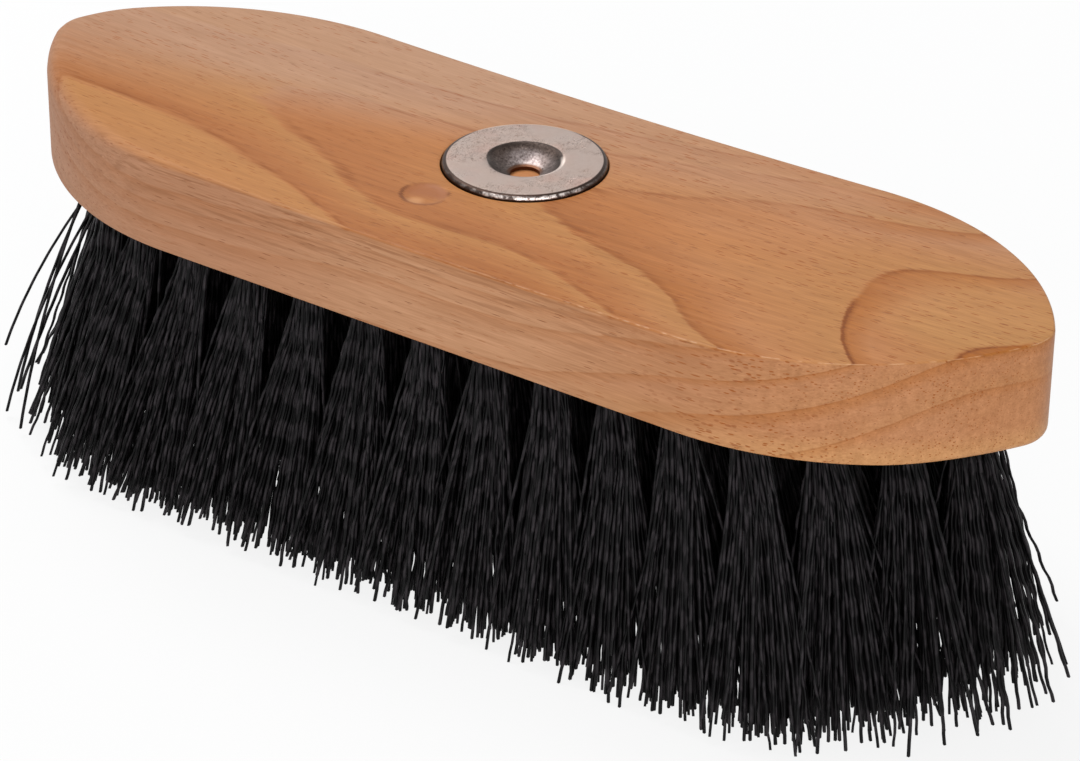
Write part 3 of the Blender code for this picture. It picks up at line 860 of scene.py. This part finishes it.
def back_rings(rim):
    """Rings from the back's edge in to the recess, down into it and over its boss."""
    centre = np.array(DISC_CENTRE)
    rays = rim - centre
    reach = np.hypot(*rays.T)[:, None]
    rays = rays / reach
    rings = []
    for i in range(1, BACK_STEPS + 1):
        share = (1 - i / BACK_STEPS) ** 1.15
        flat = centre + rays * blend(RECESS_RADIUS + RECESS_RIM, reach, share)
        rings.append(np.c_[flat, back_height(flat)])
    for across, down in quarter_turn(RECESS_RIM_STEPS)[1:]:
        flat = centre + rays * (RECESS_RADIUS + RECESS_RIM * (1 - across))
        rings.append(np.c_[flat, back_height(flat) - RECESS_RIM * down])
    for radius, z in ((RECESS_RADIUS, RECESS_WALL_Z), (RECESS_RADIUS, RECESS_FLOOR_Z),
                      (BOSS_RADIUS + BOSS_FLARE, RECESS_FLOOR_Z), (BOSS_RADIUS, BOSS_Z),
                      (BOSS_RADIUS / 2, BOSS_Z)):
        flat = centre + rays * radius
        rings.append(np.c_[flat, np.full(len(flat), z)])
    return rings


def tuft_roots():
    """Name and root centre of every tuft, from the frame."""
    roots = {}
    for name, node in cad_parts.items():
        if name.startswith("tuft_"):
            points = np.array([v.co[:] for v in node.data.vertices])
            top = points[points[:, 2] > points[:, 2].max() - 0.0001]
            roots[name] = top[:, :2].mean(axis=0)
    return dict(sorted(roots.items()))


def skin(rings):
    """Points and faces from ring to ring, closed over the boss."""
    count = len(rings[0])
    points = [tuple(p) for ring in rings for p in ring]
    faces = []
    for level in range(len(rings) - 1):
        a, b = level * count, (level + 1) * count
        for i in range(count):
            k = (i + 1) % count
            faces.append((a + i, a + k, b + k, b + i))
    last = (len(rings) - 1) * count
    points.append((*DISC_CENTRE, BOSS_Z))
    for i in range(count):
        faces.append((last + i, last + (i + 1) % count, len(points) - 1))
    return points, faces


def add_underside(points, faces, rim, roots):
    """Close the underside between its edge and the blind holes, and line each hole."""
    flat = [Vector(p[:2]) for p in rim]
    edges = [(i, (i + 1) % len(rim)) for i in range(len(rim))]
    lip = list(range(len(rim)))
    for centre in roots.values():
        start = len(flat)
        for i in range(HOLE_STEPS):
            angle = math.tau * i / HOLE_STEPS
            flat.append(Vector((centre[0] + HOLE_RADIUS * math.cos(angle),
                                centre[1] + HOLE_RADIUS * math.sin(angle))))
            edges.append((start + i, start + (i + 1) % HOLE_STEPS))
            lip.append(len(points))
            points.append((*flat[-1], BASE_Z))
        high = len(points)
        points += [(*flat[start + i], BASE_Z + HOLE_DEPTH) for i in range(HOLE_STEPS)]
        faces += ring_faces(lip[start], high, HOLE_STEPS)
        faces.append(range(high, high + HOLE_STEPS))
    verts, _, triangles, origins, _, _ = delaunay_2d_cdt(flat, edges, [], 1, 1e-7)
    centres = np.array(list(roots.values()))
    for triangle in triangles:
        middle = sum((verts[i] for i in triangle), Vector((0, 0))) / 3
        if np.hypot(*(centres - np.array(middle)).T).min() > HOLE_RADIUS * 0.99:
            corners = [lip[origins[i][0]] for i in triangle]
            faces.append(tuple(reversed(corners)))


def build_block(roots, material):
    sides = side_rings()
    points, faces = skin(sides + back_rings(sides[-1][:, :2]))
    add_underside(points, faces, sides[0], roots)
    mesh = add_piece("lacquered_block", points, faces, material,
                     ["wooden_block"])
    mesh.set_sharp_from_angle(angle=SHARP_BLOCK)
    places = np.array([v.co[:] for v in mesh.vertices])
    store(mesh, "ring_shift", ring_shift(places / MM))
    arris = np.zeros(len(places))
    count = len(sides[0])
    middle = len(sides) - BACK_EDGE_STEPS // 2 - 1
    arris[middle * count:(middle + 1) * count] = 1.0
    store(mesh, "arris", arris)
    below = back_height(places) / MM - places[:, 2] / MM
    deep = np.clip(0.9 * upper_round(places) / MM, 0.3, 1.2)
    store(mesh, "flank", np.clip(below / deep, 0, 1))


# Disc

def build_disc(material):
    """A turned ring: rounded edges, a flat face and a bowl that runs down to the hole."""
    edge = DISC_RADIUS - DISC_EDGE
    profile = [(edge + DISC_EDGE * out, DISC_LOW_Z + DISC_EDGE * up)
               for out, up in quarter_turn(6)]
    profile += [(edge + DISC_EDGE * (1 - down), DISC_TOP_Z - DISC_EDGE * (1 - along))
                for along, down in quarter_turn(8)]
    profile += [(blend(edge, DISH[0][0], i / 7), DISC_TOP_Z) for i in range(1, 7)]
    profile += [(radius, DISC_TOP_Z - depth) for radius, depth in DISH]
    low = profile[-1][1] - DISC_HOLE_LIP
    profile += [(DISC_HOLE_RADIUS - 0.1 * DISC_HOLE_LIP, low), (DISC_HOLE_RADIUS, DISC_LOW_Z)]
    count = len(profile)
    points, faces = [], []
    for i in range(DISC_STEPS):
        angle = math.tau * i / DISC_STEPS
        for r, z in profile:
            points.append((DISC_CENTRE[0] + r * math.cos(angle),
                           DISC_CENTRE[1] + r * math.sin(angle), z))
        faces += ring_faces(i * count, (i + 1) % DISC_STEPS * count, count)
    mesh = add_piece("nickel_disc", points, faces, material, ["magnet_disc"])
    mesh.set_sharp_from_angle(angle=SHARP_DISC)


# Tufts

def row_normal(root):
    """Which way is straight out from the outer row at this root."""
    x, y = abs(root[0]) - HALF_SIDE, abs(root[1])
    if x <= 0:
        normal = np.array((0.0, 1.0))
    else:
        normal = np.array((x, y - ROW_ARC_CENTRE_Y))
    return normal / np.hypot(*normal) * np.where(root < 0, -1.0, 1.0)


def loose_tips(root):
    """The loose filaments' tips that belong to the tuft at this root."""
    if root[0] > LOOSE_X or root[1] > LOOSE_END_Y:
        return ()
    return LOOSE_TIPS_END if root[1] > LOOSE_NEAR_Y else LOOSE_TIPS_NEAR


def packed_circle(rng):
    """How far from its hole's middle to the edge each filament starts, and which way."""
    index = np.arange(FILAMENTS_PER_TUFT)
    turn = index * GOLDEN_ANGLE + rng.uniform(0, math.tau)
    share = np.sqrt((index + 0.5) / FILAMENTS_PER_TUFT)
    return share, np.c_[np.cos(turn), np.sin(turn)]


def fanned_tips(rng, root, outer, outwards, share, direction):
    """Where each filament ends, seen from above, and which of them have gone astray."""
    end_pull = END_PULL_LEFT if root[0] < 0 else END_PULL_RIGHT
    pull = blend(MIDDLE_PULL, end_pull, eased(abs(root[0]), *END_PULL_FROM_TO))
    normal = row_normal(root) if outer else np.array((0.0, 1.0))
    tangent = np.array((-normal[1], normal[0]))
    square = direction / np.abs(direction).max(axis=1)[:, None]
    corner = blend(direction, square, TIP_SQUARENESS) * share[:, None]
    along = blend(*OUTER_TIPS_ALONG, eased(abs(root[0]), *OUTER_TIPS_ALONG_FROM_TO))
    spread = (along, OUTER_TIPS_ACROSS) if outer else INNER_TIPS
    centre = root * (1 + FAN)
    tip = centre + corner[:, :1] * tangent * spread[0] + corner[:, 1:] * normal * spread[1]
    tip -= outwards * (pull * (1 - share ** 8))[:, None]
    tip += rng.normal(0, TIP_SCATTER, tip.shape)
    astray = rng.random(len(tip)) < STRAY_SHARE
    stray = rng.normal(0, STRAY_SCATTER, (int(astray.sum()), 2))
    stray = np.clip(stray, -STRAY_LIMIT, STRAY_LIMIT)
    beyond = np.maximum(stray @ outwards, 0)
    tip[astray] += stray - STRAY_HELD_BACK * beyond[:, None] * outwards
    return tip, astray


def tip_heights(rng, count):
    """How high above the floor each filament is cut off."""
    ragged = rng.gamma(TIP_RAGGED_SHAPE, TIP_RAGGED_SCALE, count)
    height = TIP_LIFT + np.minimum(ragged, TIP_RAGGED_LIMIT)
    height[rng.random(count) < LONGEST_SHARE] = 0.0
    height[0] = 0.0
    return height


def crimped_runs(rng, start, tip, tip_z, outwards, astray, loose):
    """The points along each filament, and to which side each of them is pushed by a crimp."""
    n = len(tip)
    length = BASE_Z + ROOT_DEPTH - tip_z
    step = length / (LEVELS - 1)
    phase = np.clip(1 + rng.normal(0, CRIMP_PHASE, n), *CRIMP_PHASE_RANGE)
    level = np.zeros((n, LEVELS))
    level[:, 1:-1] = (np.arange(LEVELS - 2)[None, :] + phase[:, None]) * step[:, None]
    level[:, -1] = length
    z = BASE_Z + ROOT_DEPTH - level
    along = np.clip((BASE_Z - z) / (BASE_Z - tip_z)[:, None], 0, 1)
    bend = rng.normal(BEND, BEND_SCATTER, n)
    bend[loose] = BEND_LOOSE
    fan = along + bend[:, None] * along * (1 - along)
    flat = start[:, None, :] + (tip - start)[:, None, :] * fan[:, :, None]
    sway = rng.normal(0, SWAY, (n, 2))
    sway[loose] = 0.0
    flat += sway[:, None, :] * np.sin(math.pi * along)[:, :, None]
    lean = math.atan2(outwards[1], outwards[0]) + rng.uniform(-TUFT_LEAN, TUFT_LEAN)
    lean = lean + rng.normal(0, LEAN_SCATTER, n)
    side = np.where(rng.random(n) < SAME_SIDE_SHARE, 1.0, -1.0)
    wave = np.where(np.arange(LEVELS) // 2 % 2 == 0, 1.0, -1.0)[None, :] * side[:, None]
    wave = wave * np.clip(along * CRIMP_GROWTH, 0, 1)
    size = CRIMP * rng.uniform(*CRIMP_RANGE, n)
    size[astray] *= CRIMP_STRAY
    size[loose] *= CRIMP_LOOSE
    flat += np.c_[np.cos(lean), np.sin(lean)][:, None, :] * (wave * size[:, None])[:, :, None]
    return np.concatenate([flat, z[:, :, None]], axis=2), wave


def tube_points(rng, runs):
    """A ring of points round each point of each run."""
    n = len(runs)
    radius = FILAMENT_RADIUS * rng.uniform(*FILAMENT_RADIUS_RANGE, n)
    spin = rng.uniform(0, math.tau, n)
    angle = spin[:, None] + math.tau * np.arange(FILAMENT_SIDES)[None, :] / FILAMENT_SIDES
    ring = np.stack([np.cos(angle), np.sin(angle)], axis=2) * radius[:, None, None]
    points = np.repeat(runs[:, :, None, :], FILAMENT_SIDES, axis=2)
    points[..., :2] += ring[:, None, :, :]
    return points.reshape(-1, 3)


def tube_faces(n):
    """The sides and both ends of n tubes that follow each other in the points."""
    faces = []
    for i in range(n):
        base = i * LEVELS * FILAMENT_SIDES
        for row in range(LEVELS - 1):
            a = base + row * FILAMENT_SIDES
            faces += ring_faces(a, a + FILAMENT_SIDES, FILAMENT_SIDES)
        faces.append(range(base, base + FILAMENT_SIDES))
        last = base + (LEVELS - 1) * FILAMENT_SIDES
        faces.append(range(last, last + FILAMENT_SIDES)[::-1])
    return faces


def sharpen_ends(mesh):
    """Mark the edges of each filament's two cut ends as sharp."""
    pairs = np.empty(len(mesh.edges) * 2, dtype=np.int32)
    mesh.edges.foreach_get("vertices", pairs)
    row = (pairs.reshape(-1, 2) // FILAMENT_SIDES) % LEVELS
    cap = (row[:, 0] == row[:, 1]) & ((row[:, 0] == 0) | (row[:, 0] == LEVELS - 1))
    sharp = mesh.attributes.new("sharp_edge", "BOOLEAN", "EDGE")
    sharp.data.foreach_set("value", cap)


def build_tuft(name, root, number, material):
    """Crimped filaments that leave one hole and fan out to their ragged cut ends."""
    rng = np.random.default_rng(TUFT_SEED + number)
    share, direction = packed_circle(rng)
    start = root + direction * (share * ROOT_SPREAD)[:, None]
    outwards = root * (1 + FAN) - root
    outwards = outwards / np.hypot(*outwards)
    tip, astray = fanned_tips(rng, root, "outer" in name, outwards, share, direction)
    tip_z = tip_heights(rng, len(tip))
    places = loose_tips(root)
    for i, place in enumerate(places):
        tip[-1 - i] = place[:2]
        tip_z[-1 - i] = place[2]
    margin = FILAMENT_RADIUS + CRIMP * CRIMP_RANGE[1] + BOX_MARGIN
    tip = np.clip(tip, np.array(cad_low[:2]) + margin, np.array(cad_high[:2]) - margin)
    loose = slice(len(tip) - len(places), None)
    runs, wave = crimped_runs(rng, start, tip, tip_z, outwards, astray, loose)
    mesh = add_piece(name.replace("tuft", "filaments"), tube_points(rng, runs),
                     tube_faces(len(runs)), material, [name])
    store(mesh, "crest", np.repeat(wave.ravel(), FILAMENT_SIDES))
    sharpen_ends(mesh)


# Surroundings

def light_by_ray(tree, output, hidden, seen, share):
    """Show seen, by this share, in the picture, in metal and in glass, and hidden elsewhere."""
    nodes, links = tree.nodes, tree.links
    path = nodes.new("ShaderNodeLightPath")
    total = path.outputs["Is Camera Ray"]
    for name in ("Is Glossy Ray", "Is Transmission Ray"):
        more = nodes.new("ShaderNodeMath")
        more.operation = "MAXIMUM"
        links.new(total, more.inputs[0])
        links.new(path.outputs[name], more.inputs[1])
        total = more.outputs[0]
    scale = nodes.new("ShaderNodeMath")
    scale.operation = "MULTIPLY"
    links.new(total, scale.inputs[0])
    scale.inputs[1].default_value = share
    mix = nodes.new("ShaderNodeMixShader")
    for source, socket in zip((scale, hidden, seen), mix.inputs):
        links.new(source.outputs[0], socket)
    links.new(mix.outputs[0], nodes.new(output).inputs["Surface"])


def add_floor():
    mesh = bpy.data.meshes.new("floor")
    corners = [(x * FLOOR_HALF, y * FLOOR_HALF, FLOOR_Z)
               for x, y in ((-1, -1), (1, -1), (1, 1), (-1, 1))]
    mesh.from_pydata(corners, [], [(0, 1, 2, 3)])
    floor = bpy.data.objects.new("floor", mesh)
    bpy.context.collection.objects.link(floor)
    material = bpy.data.materials.new("floor_white")
    material.use_nodes = True
    tree = material.node_tree
    tree.nodes.clear()
    paint = tree.nodes.new("ShaderNodeBsdfDiffuse")
    paint.inputs["Color"].default_value = (FLOOR_PAINT, FLOOR_PAINT, FLOOR_PAINT, 1)
    glow = tree.nodes.new("ShaderNodeEmission")
    light_by_ray(tree, "ShaderNodeOutputMaterial", paint, glow, FLOOR_GLOW_SHARE)
    mesh.materials.append(material)


def light_world():
    world = bpy.data.worlds.new("studio")
    bpy.context.scene.world = world
    world.use_nodes = True
    tree = world.node_tree
    tree.nodes.clear()
    ambient = tree.nodes.new("ShaderNodeBackground")
    ambient.inputs["Color"].default_value = (*AMBIENT_COLOUR, 1)
    ambient.inputs["Strength"].default_value = AMBIENT_STRENGTH
    white = tree.nodes.new("ShaderNodeBackground")
    light_by_ray(tree, "ShaderNodeOutputWorld", ambient, white, 1.0)


def add_lamp(name, place, size, power):
    data = bpy.data.lights.new(name, "AREA")
    data.shape = "RECTANGLE"
    data.size, data.size_y = size
    data.energy = power
    lamp = bpy.data.objects.new(name, data)
    lamp.location = place
    lamp.rotation_mode = "QUATERNION"
    aim = Vector(LAMP_TARGET) - Vector(place)
    lamp.rotation_quaternion = aim.to_track_quat("-Z", "Y")
    bpy.context.collection.objects.link(lamp)


def add_camera():
    """The photograph's own view."""
    back = Vector((math.sin(HEADING) * math.cos(ELEVATION),
                   -math.cos(HEADING) * math.cos(ELEVATION), math.sin(ELEVATION)))
    right = Vector((math.cos(HEADING), math.sin(HEADING), 0))
    up = back.cross(right)
    right, up = (math.cos(ROLL) * right + math.sin(ROLL) * up,
                 math.cos(ROLL) * up - math.sin(ROLL) * right)
    data = bpy.data.cameras.new("camera")
    data.sensor_width = SENSOR_WIDTH
    data.lens = FOCAL_PIXELS / PHOTO_WIDTH_PIXELS * SENSOR_WIDTH
    data.clip_start, data.clip_end = CLIP_RANGE
    camera = bpy.data.objects.new("camera", data)
    place = right * CAMERA_SHIFT_X + up * CAMERA_SHIFT_Y + back * CAMERA_DISTANCE
    matrix = Matrix((right, up, back)).transposed().to_4x4()
    matrix.translation = place + Vector((0, 0, BASE_Z))
    camera.matrix_world = matrix
    bpy.context.collection.objects.link(camera)
    bpy.context.scene.camera = camera


def main():
    bpy.context.scene.view_settings.view_transform = "Standard"
    roots = tuft_roots()
    build_block(roots, wood_look())
    build_disc(nickel_look())
    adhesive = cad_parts["disc_adhesive"]
    adhesive.data.materials.clear()
    adhesive.data.materials.append(adhesive_look())
    filament = filament_look()
    for number, (name, root) in enumerate(roots.items()):
        build_tuft(name, root, number, filament)
    add_floor()
    light_world()
    for name, lamp in LAMPS.items():
        add_lamp(name, **lamp)
    add_camera()
    bpy.context.view_layer.update()


main()
